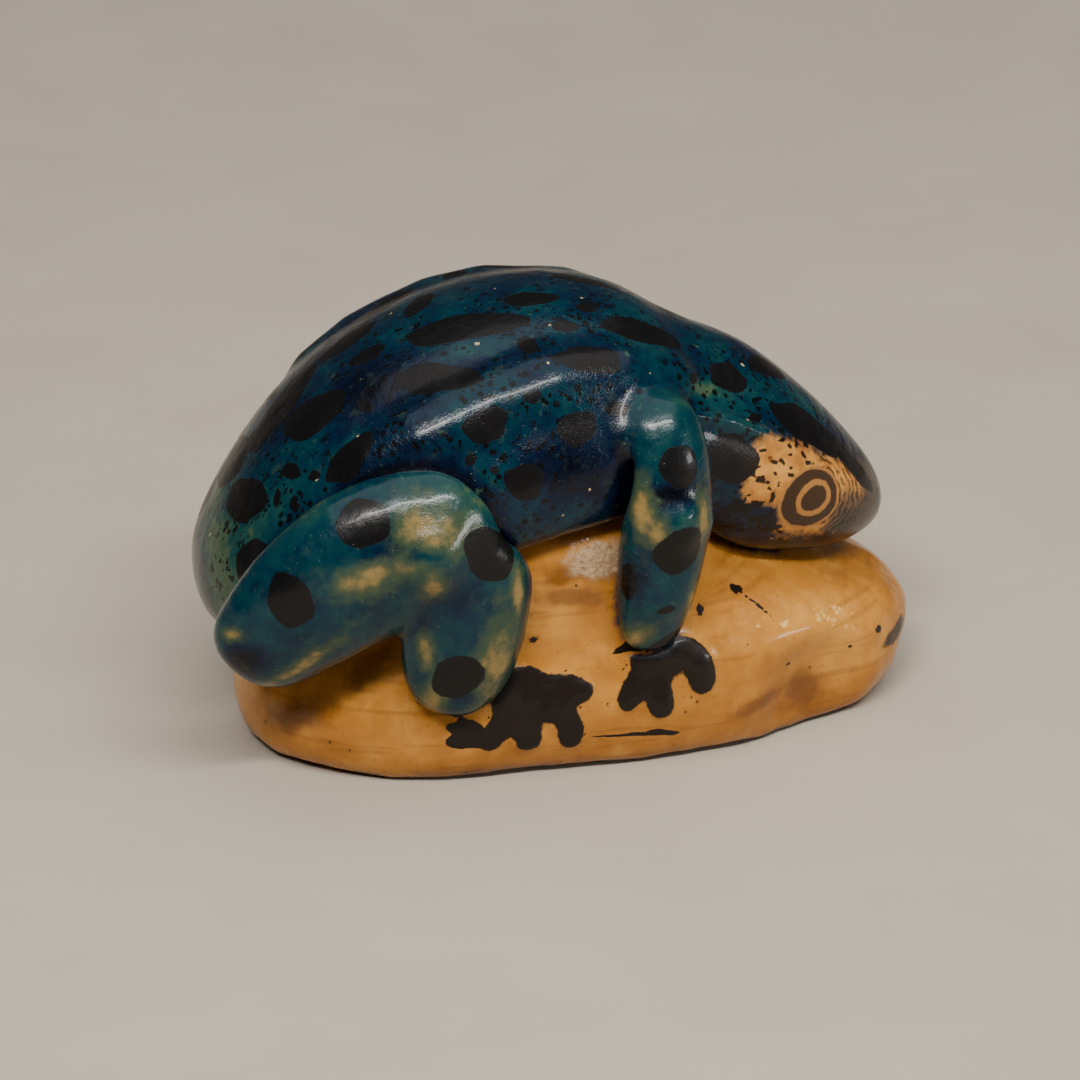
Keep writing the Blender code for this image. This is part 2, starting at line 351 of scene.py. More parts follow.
def skin(solid, labels):
    """One net over every boundary between labels, 0 being air.

    Returns its points, which of them touch air, and each label's quads, facing out of it.
    """
    cells = tuple(n - 1 for n in SHAPE)
    offsets = [(i, j, k) for i in (0, 1) for j in (0, 1) for k in (0, 1)]

    def corner(array, offset):
        return array[tuple(slice(o, o + n) for o, n in zip(offset, cells))]

    first = corner(labels, (0, 0, 0))
    mixed = np.zeros(cells, bool)
    for offset in offsets[1:]:
        mixed |= corner(labels, offset) != first
    index = np.full(cells, -1, np.int32)
    index[mixed] = np.arange(mixed.sum())
    place = np.argwhere(mixed)

    total = np.zeros((len(place), 3))
    count = np.zeros(len(place))
    air = np.zeros(len(place), bool)
    for axis in range(3):
        step = np.eye(3, dtype=int)[axis]
        for offset in offsets:
            if offset[axis]:
                continue
            a = place + offset
            b = a + step
            label_a, label_b = labels[tuple(a.T)], labels[tuple(b.T)]
            value_a, value_b = solid[tuple(a.T)], solid[tuple(b.T)]
            air |= (label_a == 0) | (label_b == 0)
            crossing = label_a != label_b
            outside = (value_a > 0) != (value_b > 0)
            share = np.where(outside, value_a / np.where(outside, value_a - value_b, 1), 0.5)
            total += crossing[:, None] * (a + share[:, None] * step)
            count += crossing
    points = LOW + STEP * total / count[:, None]

    on_skin = points[air]
    for _ in range(4):
        value = sample(solid, on_skin)
        gradient = slope(solid, on_skin)
        move = value[:, None] * gradient / np.maximum((gradient ** 2).sum(1), 0.2)[:, None]
        length = np.linalg.norm(move, axis=1)[:, None]
        on_skin = on_skin - move * np.minimum(1, 0.5 * STEP / np.maximum(length, 1e-9))
    points[air] = on_skin

    quads = {label: [] for label in range(1, len(NODES) + 1)}
    for axis in range(3):
        one, two = (axis + 1) % 3, (axis + 2) % 3
        inner = [slice(1, n - 1) for n in SHAPE]
        inner[axis] = slice(0, SHAPE[axis] - 1)
        ahead = list(inner)
        ahead[axis] = slice(1, SHAPE[axis])
        here, there = labels[tuple(inner)], labels[tuple(ahead)]
        edge = np.argwhere(here != there)
        start = edge + np.array([0 if i == axis else 1 for i in range(3)])
        around = []
        for back_one, back_two in ((1, 1), (0, 1), (0, 0), (1, 0)):
            cell = start.copy()
            cell[:, one] -= back_one
            cell[:, two] -= back_two
            around.append(index[tuple(cell.T)])
        quad = np.stack(around, 1)
        label_here, label_there = here[tuple(edge.T)], there[tuple(edge.T)]
        for label, found in quads.items():
            found.append(quad[label_here == label])
            found.append(quad[label_there == label][:, ::-1])
    return points, air, {label: np.concatenate(found) for label, found in quads.items()}


def largest_bodies(labels, fields):
    """Each label kept only where it is joined to its node's thickest place."""
    for number, name in enumerate(NODES, 1):
        mask = labels == number
        where = np.argwhere(mask)
        window = tuple(slice(a, b + 1) for a, b in zip(where.min(0), where.max(0)))
        mask = mask[window]
        grown = np.zeros_like(mask)
        depth = np.where(mask, fields[name][window], np.inf)
        grown[np.unravel_index(np.argmin(depth), mask.shape)] = True
        size = 0
        while grown.sum() > size:
            size = grown.sum()
            for _ in range(8):
                for axis in range(3):
                    ahead = [slice(None)] * 3
                    behind = [slice(None)] * 3
                    ahead[axis] = slice(1, None)
                    behind[axis] = slice(None, -1)
                    grown[tuple(ahead)] |= grown[tuple(behind)]
                    grown &= mask
                    grown[tuple(behind)] |= grown[tuple(ahead)]
                    grown &= mask
        labels[window][mask & ~grown] = 0
    return labels


# ---------------------------------------------------------------- the carving

def carve_the_nut():
    """The carving as a field, its labels, and the smoothed fields of its nodes."""
    fields = {name: blurred(node_field(name), SOFTNESS[name]) for name in NODES}
    nearest = np.full(SHAPE, np.inf, np.float32)
    labels = np.zeros(SHAPE, np.int8)
    for number, name in enumerate(NODES, 1):
        reach = fields[name] - (FOOT_ROOT if name in FEET else 0)
        closer = reach < nearest
        labels[closer] = number
        nearest[closer] = reach[closer]
    whole, parts = sculpt(fields)
    parts["feet"] = np.minimum.reduce([fields[name] for name in FEET])
    labels[whole > 0] = 0
    return whole, largest_bodies(labels, fields), parts


def unit(vectors):
    return vectors / np.maximum(np.linalg.norm(vectors, axis=-1, keepdims=True), 1e-9)


def point_normals(points, quads, on_skin, field):
    """Normals from the field, and from the net where the field has none."""
    net = np.zeros_like(points)
    for rows in quads.values():
        rows = rows[on_skin[rows].all(1)]
        corners = points[rows]
        facing = np.cross(corners[:, 2] - corners[:, 0], corners[:, 3] - corners[:, 1])
        for column in range(4):
            np.add.at(net, rows[:, column], facing)
    net = unit(net)
    smooth = unit(slope(field, points))
    agree = (net * smooth).sum(1) > 0.7
    return np.where(agree[:, None], smooth, net)


WHOLE, LABELS, PARTS = carve_the_nut()
POINTS, ON_SKIN, QUADS = skin(WHOLE, LABELS)
NORMALS = point_normals(POINTS, QUADS, ON_SKIN, WHOLE)


def piece(name, material, attributes):
    """One node's closed skin, with its attributes, riding on the body in that node's place."""
    quads = QUADS[NODES.index(name) + 1]
    used, flat = np.unique(quads, return_inverse=True)
    mesh = bpy.data.meshes.new(name)
    mesh.from_pydata((POINTS[used] * MM).tolist(), [], flat.reshape(-1, 4).tolist())
    mesh.shade_smooth()
    for label, values in attributes.items():
        layer = mesh.attributes.new(label, "FLOAT", "POINT")
        layer.data.foreach_set("value", values[used].astype(np.float32))
    mesh.normals_split_custom_set_from_vertices(NORMALS[used].tolist())
    mesh.materials.append(material)
    made = bpy.data.objects.new(f"{name}_skin", mesh)
    bpy.context.scene.collection.objects.link(made)
    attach(made, "root")
    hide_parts(name)
    return made


# ---------------------------------------------------------------- marks

# A mark is (along, turn, half length, half width, tilt), in mm and degrees.  It lies along mm
# from the middle of the frog and turn degrees round from straight up towards the right side,
# about a line at AXIS_HEIGHT.  Tilt turns its long way from forward towards up.
AXIS_HEIGHT = 16.0
FAR = 3.0                   # a distance that counts as far from every mark

BACK_SPOTS = [
    (-8.5, -9, 1.8, 1.0, -60), (-6.8, 14, 4.2, 1.5, -17), (-1.7, 7, 1.9, 1.0, -8),
    (2.1, 12, 1.0, 0.6, 35), (3.0, -6, 2.6, 0.8, 20), (8.5, -10, 2.5, 1.2, 20),
    (15.2, 13, 2.3, 1.0, 20), (-13.5, -14, 2.2, 1.4, 10), (-20.0, -12, 2.0, 1.5, 40),
    (-13.0, 6, 1.5, 0.8, -20), (19.5, -8, 1.8, 0.9, 0), (-12.2, 27, 2.2, 0.13, 58),
]
SIDE_SPOTS = [
    (-22.0, 43, 2.5, 1.7, -60), (-19.3, 42, 1.0, 0.6, -55), (-16.0, 48, 2.3, 1.2, 20),
    (-17.3, 18, 2.9, 1.8, -33), (-22.5, 89, 1.6, 1.3, 10), (-14.2, 30, 0.8, 0.5, -55),
    (-9.6, 31, 2.9, 1.5, -31), (-7.3, 48, 1.6, 1.15, 5), (-1.1, 51, 1.4, 1.2, 0),
    (-5.1, 63, 1.4, 1.25, -60), (0.6, 34, 2.5, 1.1, -6), (5.6, 21, 3.1, 1.4, 0),
    (-4.0, 42.5, 0.6, 0.5, 0), (-0.3, 21, 1.0, 0.6, 0), (-3.3, 27, 1.0, 0.7, 90),
    (2.1, 47, 0.9, 0.5, -10), (-18.2, 50, 0.5, 0.4, 0), (-20.5, 55, 0.6, 0.35, 60),
    (-19.5, 60, 0.6, 0.4, 80), (-7.1, 59, 0.35, 0.3, 0), (-8.5, 56, 0.5, 0.35, 40),
]
HEAD_SPOTS = [
    (11.5, 29, 1.7, 1.2, 12), (10.7, 61, 2.0, 1.75, -37), (17.4, 45, 3.6, 1.5, -15),
    (21.3, 76, 3.0, 0.9, -31), (12.7, 47, 0.7, 0.4, 30), (8.4, 35, 0.6, 0.4, 20),
    (11.6, 84, 1.6, 0.4, 0), (13.2, 92, 1.1, 0.35, -10), (10.5, 95, 1.3, 0.3, 5),
    (14.2, 99, 0.8, 0.3, -10),
]
LEG_SPOTS = [
    (-16.5, 69, 1.9, 1.6, -11), (-21.4, 90, 2.0, 1.5, -77), (-8.1, 80.5, 2.4, 1.6, -43),
    (-10.2, 113, 1.9, 1.6, 51), (5.5, 64, 1.45, 1.4, -16), (5.2, 86, 1.9, 1.65, 69),
    (2.0, 96, 1.4, 0.75, 80), (4.5, 103, 0.7, 0.35, 10), (5.0, 116.5, 1.9, 0.75, 28),
]
# Bare or thinly dyed places: the same five numbers.
LEG_BARE = [
    (-12.3, 72, 3.6, 2.0, -22), (-15.9, 83, 3.8, 1.2, 16), (-12.3, 86, 1.7, 1.0, -84),
    (-12.3, 108, 1.6, 0.8, 88), (-11.8, 122, 2.6, 1.1, 89), (-7.6, 110, 4.6, 1.9, 85),
    (-6.0, 92, 2.8, 0.8, -89), (-25.0, 104, 1.0, 0.6, 13), (-20.9, 114, 5.0, 0.8, 48),
    (2.8, 75, 2.6, 1.1, 88), (7.2, 78, 2.4, 0.9, 85), (3.6, 81, 1.3, 0.9, 85),
    (2.6, 113, 2.0, 1.2, 22), (6.4, 104, 2.2, 0.6, 80),
]
CHEEK = [(15.2, 70, 4.6, 2.5, -21), (14.6, 61, 2.2, 1.0, -42), (19.5, 83, 3.9, 1.7, -34),
         (17.3, 90, 3.4, 2.8, -20), (13.0, 76, 1.6, 1.3, -16)]
JAW_SMEAR = [(21.2, 125, 4.6, 2.2, -50), (22.6, 100, 2.0, 1.6, -30)]
# The burnt rings of an eye: the outside of the dark ring, its inside, and the pupil.
EYE_RINGS = {"rim": (17.1, 87, 2.6, 2.1, -15), "iris": (17.2, 87.3, 1.65, 1.35, -8),
             "pupil": (17.3, 88, 1.2, 0.92, 3)}
# Lighter (above 0) and darker (below 0) dye: the same five numbers, then how much.
BODY_TONES = [
    (-24.0, 105, 5.0, 3.0, 75, 0.55), (-21.0, 62, 4.0, 2.2, 20, 0.30), (-0.7, 62, 4.0, 3.2, -20, -0.45),
    (-14.0, 22, 6.0, 3.0, -20, -0.35), (-6.0, 40, 5.0, 1.5, -9, 0.10), (4.0, 22, 5.0, 2.5, 0, 0.22),
    (12.5, 33, 4.0, 2.0, 20, 0.25), (12.3, 96, 4.0, 3.0, -30, -0.15), (22.5, 100, 2.5, 2.5, 0, -0.5),
    (-15.5, 41, 2.5, 0.8, 20, 0.30), (-8.0, 62, 2.5, 1.5, 0, 0.25), (9.0, 37, 2.0, 0.7, 10, 0.5),
    (-17.0, -20, 6.0, 3.0, 20, 0.25), (2.0, -20, 5.0, 3.0, 0, -0.25), (-7.0, 24, 3.0, 0.8, 0, 0.3),
]
LEG_TONES = [
    (-24.2, 112, 1.7, 1.3, 54, -0.75), (-19.4, 78, 3.4, 2.2, 24, -0.05), (-13.0, 60, 4.0, 0.8, 0, -0.05),
    (-9.5, 70, 2.0, 1.4, -40, 0.2), (4.8, 71, 2.6, 0.7, 4, -0.75), (5.0, 52, 2.5, 1.5, 0, -0.2),
    (2.8, 97, 2.5, 0.5, 85, -0.3), (-10.2, 88, 2.4, 1.2, -20, -0.15), (-12.6, 98, 2.0, 0.7, 70, -0.25),
]
# The rock's own lighter and darker places, except the first row: a lighter right end, which is painted
# light.
ROCK_TONES = [
    (18.5, 122, 5.5, 2.6, -8, 0.22), (-16.5, 138, 3.5, 2.0, 11, 0.15), (14.0, 143, 5.5, 1.8, -15, -0.20),
    (-2.0, 108, 2.5, 2.0, -10, 0.12),
]
ROCK_INK = [
    (11.1, 119.6, 0.5, 0.4, 40), (12.4, 122, 1.2, 0.14, -44), (8.0, 117, 0.45, 0.25, 70),
    (-4.0, 117, 0.45, 0.2, 20), (22.0, 142, 0.4, 0.3, 0), (2.6, 136, 3.0, 0.14, -4),
    (4.7, 136, 1.1, 0.3, -8), (14.5, 134, 0.2, 0.15, 0), (19.5, 139, 0.2, 0.15, 0),
    (3.2, 120.5, 1.5, 0.5, 10), (-10.4, 131.5, 1.6, 0.45, -22), (-8.8, 134.5, 2.0, 0.9, -14),
]
ROCK_BROWN = [
    (15.9, 143.5, 2.4, 1.6, -30), (12.1, 137, 3.0, 0.7, 4), (-14.8, 133, 2.6, 1.2, 37),
    (-2.0, 98, 1.4, 1.0, 5), (-1.2, 105, 3.0, 0.9, -8), (-19.5, 148, 3.5, 1.4, 7),
    (12.0, 116, 3.0, 0.8, 0), (-6.0, 143, 5.0, 0.7, 0),
]
# Painted highlight: streaks along the edge of the ledge, where denser pale flecks stand in for its
# highlight.
LEDGE_PAINTED_HIGHLIGHT = [(12.4, 123, 1.6, 0.5, 18), (14.4, 125, 1.8, 0.6, 25), (19.0, 124, 3.0, 1.5, 0)]
ROCK_DARK = [(24.0, 152, 2.6, 0.7, 15), (23.0, 163, 3.0, 0.6, 20)]
ROUGH_BELLY = (0.7, 94, 2.6, 1.5, 0)
HAMMERED_HIP = (-12.2, 44, 3.6, 1.4, 10)

MARK_DEPTH = 4.0            # how far from its own plane a mark still shows
SEAM = 0.3                  # how far past a region's edge the middle of a mark may lie
PAINT_WIDTH = 0.3           # how far the black of a foot spreads past its toes
PAINT_DEPTHS = (-0.3, 0, 0.3, 0.6, 0.9)     # depths under the skin at which toes are looked for
PAINT_ON_DYE = 0.5          # how far the black of a foot runs up on a leg
POOL_SIZE = 0.8             # dye pools in hollows about this wide
# Arcs of short strokes round an eye: radius as a share of the eye's, first and last angle, step.
CHEEK_ARCS = [(1.35, 95, 255, 15), (1.7, 60, 240, 12), (2.05, 45, 220, 10), (2.4, 40, 200, 9)]
STROKE_LENGTH = (0.18, 0.40)    # half the length of a stroke, and half its width
STROKE_WIDTH = (0.12, 0.18)

ON_POINTS = {name: sample(field, POINTS) for name, field in PARTS.items()}
ON_LIMB = ON_POINTS["body"] - ON_POINTS["legs"]
OFF_DYE = np.minimum(ON_POINTS["body"], ON_POINTS["legs"]) - ON_POINTS["rock"]
REGIONS = {                 # each negative in its own region
    "body": np.maximum(ON_LIMB, OFF_DYE),
    "limb": np.maximum(-ON_LIMB, OFF_DYE),
    "rock": -OFF_DYE,
}


def mark_plane(mark, region):
    """Coordinates along and across a mark, as shares of its half sizes, and where it can be."""
    along, turn, length, width, tilt = mark
    angle = math.radians(turn)
    out = np.array([0, -math.sin(angle), math.cos(angle)])
    spoke = POINTS - np.array([along, 0, AXIS_HEIGHT])
    reach = spoke @ out
    aside = np.linalg.norm(spoke - reach[:, None] * out, axis=1)
    open_here = ON_SKIN & (REGIONS[region] < SEAM) & (NORMALS @ out > 0.05) & (reach > 0)
    centre = np.argmin(np.where(open_here, aside - 0.02 * reach, np.inf))
    normal = NORMALS[centre]
    ahead = unit(np.array([1.0, 0, 0]) - normal[0] * normal)
    up = np.cross(normal, ahead) * (1 if turn >= 0 else -1)
    offset = POINTS - POINTS[centre]
    a, b = offset @ ahead, offset @ up
    lean = math.radians(tilt)
    u = (a * math.cos(lean) + b * math.sin(lean)) / length
    v = (b * math.cos(lean) - a * math.sin(lean)) / width
    near = ON_SKIN & (NORMALS @ normal > 0.05) & (np.abs(offset @ normal) < MARK_DEPTH)
    return u, v, near


def spots(marks, region, wobble=0.1, seed=0):
    """Distance to the edge of the nearest spot, in mm, negative inside it."""
    dice = np.random.default_rng(seed)
    nearest = np.full(len(POINTS), FAR)
    for mark in marks:
        u, v, near = mark_plane(mark, region)
        around = np.arctan2(v, u)
        edge = 1 + sum(wobble / lobes ** 0.5 * np.sin(lobes * around + dice.uniform(0, 2 * math.pi))
                       for lobes in (2, 3, 5))
        gap = (np.hypot(u, v) - edge) * math.sqrt(mark[2] * mark[3])
        nearest = np.minimum(nearest, np.where(near, gap, FAR))
    return np.maximum(nearest, REGIONS[region])


def cloud(mark, region, amount=1.0):
    """A soft patch, 1 at its centre."""
    u, v, near = mark_plane(mark, region)
    return np.where(near, amount * np.exp(-1.1 * (u * u + v * v)), 0)


def clouds(marks, region):
    return np.maximum.reduce([cloud(mark, region) for mark in marks])


def mirrored(marks, seed, shift=1.2):
    """The same sort of marks on the left side, each a little off, as a hand sets them."""
    dice = np.random.default_rng(seed)
    other = []
    for along, turn, length, width, tilt in marks:
        size = dice.uniform(0.85, 1.15)
        other.append((along + dice.uniform(-shift, shift), -turn + dice.uniform(-4, 4),
                      length * size, width * size, tilt + dice.uniform(-25, 25)))
    return other


def other_side(mark):
    return (mark[0], -mark[1], *mark[2:])


def cheek_dashes(eye, seed):
    """Short strokes in arcs round an eye, from ahead of it, over it, to behind it."""
    dice = np.random.default_rng(seed)
    u, v, near = mark_plane(eye, "body")
    scale = math.sqrt(eye[2] * eye[3])
    nearest = np.full(len(POINTS), FAR)
    for radius, first, last, step in CHEEK_ARCS:
        for angle in np.arange(first, last, step):
            at = math.radians(angle + dice.uniform(-6, 6))
            far = radius + dice.uniform(-0.13, 0.13)
            lean = at + dice.choice([0.2, 1.3]) + dice.uniform(-0.4, 0.4)
            long, wide = dice.uniform(*STROKE_LENGTH), dice.uniform(*STROKE_WIDTH)
            p = (u - far * math.cos(at)) * scale
            q = (v - far * math.sin(at)) * scale
            along = np.clip(p * math.cos(lean) + q * math.sin(lean), -long + wide, long - wide)
            gap = np.hypot(p - along * math.cos(lean), q - along * math.sin(lean)) - wide
            nearest = np.minimum(nearest, np.where(near, gap, FAR))
    return nearest


def eye_rings():
    """Distance to the edge of each ring of the nearer eye, and how far ahead of that eye."""
    rings = {name: np.full(len(POINTS), FAR) for name in EYE_RINGS}
    ahead = np.zeros(len(POINTS))
    for side in (1, -1):
        for name, (along, turn, length, width, tilt) in EYE_RINGS.items():
            u, v, near = mark_plane((along, side * turn, length, width, tilt), "body")
            gap = np.where(near, (np.hypot(u, v) - 1) * math.sqrt(length * width), FAR)
            if name == "rim":
                lean = math.radians(tilt)
                forward = u * length * math.cos(lean) - v * width * math.sin(lean)
                ahead = np.where(gap < rings[name], forward, ahead)
            rings[name] = np.minimum(rings[name], gap)
    return {**rings, "ahead": ahead}


def attributes():
    """Every number that the materials read, at each point."""
    black = np.minimum.reduce([
        spots(BACK_SPOTS, "body", seed=11),
        spots(SIDE_SPOTS + HEAD_SPOTS, "body", seed=12),
        spots(mirrored(SIDE_SPOTS, 21) + [other_side(mark) for mark in HEAD_SPOTS], "body", seed=13),
        spots(LEG_SPOTS, "limb", wobble=0.06, seed=14),
        spots(mirrored(LEG_SPOTS, 22, 0.4), "limb", wobble=0.06, seed=15),
        spots(ROCK_INK, "rock", wobble=0.25, seed=16),
    ])
    below = [sample(PARTS["feet"], POINTS - depth * NORMALS) for depth in PAINT_DEPTHS]
    paint = np.maximum(np.minimum.reduce(below) - PAINT_WIDTH, -OFF_DYE - PAINT_ON_DYE)
    bare = np.maximum.reduce([clouds(LEG_BARE, "limb"), clouds(mirrored(LEG_BARE, 23, 0.8), "limb")])
    cheek = clouds(CHEEK + [other_side(mark) for mark in CHEEK], "body")
    tone = np.zeros(len(POINTS))
    for marks, region in ((BODY_TONES, "body"), (LEG_TONES, "limb"), (ROCK_TONES, "rock")):
        for *mark, amount in marks:
            tone += cloud(tuple(mark), region, amount)
            if mark[1] > 15:
                tone += cloud(other_side(mark), region, amount)
    eye = EYE_RINGS["rim"]
    strokes = np.minimum(cheek_dashes(eye, 31), cheek_dashes(other_side(eye), 32))
    hollows = blurred(WHOLE, POOL_SIZE) - WHOLE
    return {
        "ink": black,
        "paint": paint,
        "stroke": strokes,
        **eye_rings(),
        "bare": bare,
        "cheek": cheek,
        "smear": clouds(JAW_SMEAR + [other_side(mark) for mark in JAW_SMEAR], "body"),
        "tone": tone,
        "dye": OFF_DYE,
        "limb": ON_LIMB,
        "deep": sample(hollows, POINTS),
        "rough": clouds([ROUGH_BELLY, other_side(ROUGH_BELLY)], "rock"),
        "brown": clouds(ROCK_BROWN + mirrored(ROCK_BROWN, 24), "rock"),
        "ledge_highlight": clouds(LEDGE_PAINTED_HIGHLIGHT + mirrored(LEDGE_PAINTED_HIGHLIGHT, 25), "rock"),
        "dark": clouds(ROCK_DARK, "rock"),
        "hammered": clouds([HAMMERED_HIP, other_side(HAMMERED_HIP)], "body"),
    }


# ---------------------------------------------------------------- materials

class Net:
    """Adds nodes to a material; a socket given as an input is linked, a number is set."""

    def __init__(self, tree):
        self.tree = tree
        self.place = self.add("TexCoord", {}, "Object")

    def add(self, kind, inputs, output=0, **settings):
        node = self.tree.nodes.new("ShaderNode" + kind)
        for name, value in settings.items():
            setattr(node, name, value)
        for key, value in inputs.items():
            if isinstance(value, bpy.types.NodeSocket):
                self.tree.links.new(value, node.inputs[key])
            else:
                node.inputs[key].default_value = value
        return node.outputs[output]

    def math(self, operation, a, b=0.0):
        return self.add("Math", {0: a, 1: b}, operation=operation)

    def plus(self, a, b):
        return self.math("ADD", a, b)

    def times(self, a, b):
        return self.math("MULTIPLY", a, b)

    def least(self, a, b):
        return self.math("MINIMUM", a, b)

    def step(self, value, start, end):
        """0 at start, 1 at end, smooth between them; end may be below start."""
        low, high = (0.0, 1.0) if start < end else (1.0, 0.0)
        return self.add("MapRange", {0: value, 1: min(start, end), 2: max(start, end), 3: low, 4: high},
                        interpolation_type="SMOOTHSTEP")

    def mix(self, share, a, b):
        a, b = (value if isinstance(value, bpy.types.NodeSocket) else (*value, 1) for value in (a, b))
        return self.add("Mix", {0: share, 6: a, 7: b}, 2, data_type="RGBA")

    def stretched(self, scale, turn=(0, 0, 0)):
        return self.add("Mapping", {"Vector": self.place, "Scale": scale, "Rotation": turn})

    def moved(self, where, seed):
        """Coordinates shifted by an amount of each seed's own, so that textures don't line up."""
        shift = tuple(seed * step * MM for step in (37.1, 53.3, 71.9))
        return self.add("VectorMath", {0: where, 1: shift}, operation="ADD")

    def noise(self, size, seed=0.0, detail=2.0, where=None, roughness=0.5):
        """Noise about 0.5 with features of that size in mm."""
        return self.add("TexNoise", {"Vector": self.moved(where or self.place, seed),
                                     "Scale": 1 / (size * MM), "Detail": detail, "Roughness": roughness})

    def cells(self, size, seed=0.0):
        """Distance to the nearest of points scattered about that many mm apart, as a share of it."""
        return self.add("TexVoronoi", {"Vector": self.moved(self.place, seed), "Scale": 1 / (size * MM)},
                        "Distance")

    def attribute(self, name):
        return self.add("Attribute", {}, "Fac", attribute_name=name)

    def ramp(self, value, stops):
        node = self.tree.nodes.new("ShaderNodeValToRGB")
        self.tree.links.new(value, node.inputs[0])
        elements = node.color_ramp.elements
        while len(elements) < len(stops):
            elements.new(0.5)
        for element, (place, colour) in zip(elements, stops):
            element.position = place
            element.color = (*colour, 1)
        return node.outputs[0]


NUT = [(0.25, (0.24, 0.084, 0.009)), (0.5, (0.37, 0.148, 0.021)), (0.75, (0.56, 0.265, 0.052))]
NUT_BROWN = (0.12, 0.040, 0.009)
NUT_PALE = (0.80, 0.52, 0.19)
CHALK = (0.62, 0.47, 0.29)
DYE = [
    (0.0, (0.0004, 0.0010, 0.0040)), (0.22, (0.0004, 0.0035, 0.0150)),
    (0.42, (0.0004, 0.0090, 0.0240)), (0.60, (0.0006, 0.0210, 0.0330)),
    (0.76, (0.0022, 0.0320, 0.0370)), (0.90, (0.0100, 0.0450, 0.0360)),
    (1.0, (0.036, 0.066, 0.036)),
]
OLIVE = (0.036, 0.056, 0.028)
TAN = (0.30, 0.19, 0.055)
CHEEK_NUT = [(0.35, (0.36, 0.135, 0.022)), (0.65, (0.56, 0.26, 0.055))]
BLACK = (0.0016, 0.0013, 0.0014)
BURNT = (0.014, 0.007, 0.004)
SMEAR = (0.050, 0.034, 0.022)
CHIP = (0.52, 0.40, 0.20)
# A dark brown, for darker patches low on the rock's right end and for painted shade along its bottom
# edge.
DARK_BROWN = (0.03, 0.014, 0.006)
MISSED_DYE = (0.035, 0.075, 0.045)
EYE_HALO = (0.33, 0.145, 0.035)
DYE_EDGE = (0.004, 0.014, 0.035)
WORN_BLACK = (0.005, 0.0045, 0.005)
FLOOR = [(0.37, 0.32, 0.26), (0.45, 0.395, 0.325)]

# How much each texture adds to the surface, mm.
GRAIN_RELIEF = 0.005
SPARKLE_RELIEF = 0.016      # more grain where the body is dyed
SCRATCH_RELIEF = 0.010
SWELL_RELIEF = 0.05
INK_RELIEF = 0.004
CHALK_RELIEF = 0.25
HAMMERED_RELIEF = 0.09
PIT_RELIEF = -0.02

# The wax polish, the same on every finish.
IOR = 1.45
SPECULAR = 0.24
COAT = 0.15
COAT_ROUGHNESS = 0.07
SCATTER_DISTANCE = 0.8 * MM
SCATTER_BY_COLOUR = (1.0, 0.45, 0.18)


def rock_colour(net):
    """Bare polished nut: amber, mottled, with fine growth lines, stains and flecks, painted light on its
    right end, a painted highlight along the ledge, darker patches low on its right end, and painted shade
    along its bottom edge.
    """
    mottle = net.plus(net.times(net.noise(7, 1, 3), 0.6), net.times(net.noise(1.6, 2, 4), 0.4))
    # The tone holds the nut's own lighter and darker places, and painted light on the rock's right end.
    mottle = net.plus(mottle, net.attribute("tone"))
    colour = net.ramp(mottle, NUT)
    layers = net.noise(1.0, 3, 3, net.stretched((0.12, 0.12, 1.6), (0, 0.05, 0)))
    colour = net.mix(net.times(net.step(layers, 0.56, 0.68), 0.30), colour, NUT_BROWN)
    pits = net.times(net.step(net.noise(0.45, 4, 3), 0.64, 0.72), 0.35)
    colour = net.mix(pits, colour, NUT_BROWN)
    ragged = net.noise(0.9, 5, 4)
    stain = net.step(net.plus(net.attribute("brown"), net.times(ragged, 0.9)), 0.55, 1.35)
    colour = net.mix(net.times(stain, 0.75), colour, NUT_BROWN)
    # Pale flecks of the nut all over, made denser along the ledge as a painted highlight.
    flecks_and_ledge_highlight = net.step(net.plus(net.times(net.attribute("ledge_highlight"), 0.45), net.noise(0.55, 6, 3)), 0.88, 1.05)
    colour = net.mix(net.times(flecks_and_ledge_highlight, 0.65), colour, NUT_PALE)
    chalky = net.step(net.plus(net.attribute("rough"), net.times(ragged, 0.8)), 0.65, 1.1)
    colour = net.mix(net.times(chalky, 0.85), colour, net.mix(net.noise(0.3, 7, 2), NUT_BROWN, CHALK))
    # Darker patches low on the rock's right end.
    dark_patch = net.step(net.plus(net.attribute("dark"), net.times(ragged, 0.6)), 0.6, 0.95)
    height = net.add("SeparateXYZ", {0: net.place}, 2)
    # Painted shade: darker along the bottom edge, where the rock meets the floor.
    painted_bottom_shade = net.step(net.plus(height, net.times(net.noise(2.5, 8), 1.2 * MM)), 1.3 * MM, 0.7 * MM)
    colour = net.mix(net.math("MAXIMUM", dark_patch, net.times(painted_bottom_shade, 0.85)), colour, DARK_BROWN)
    crumbs = net.step(net.cells(1.9, 9), 0.075, 0.05)
    return net.mix(net.times(crumbs, 0.75), colour, BURNT)


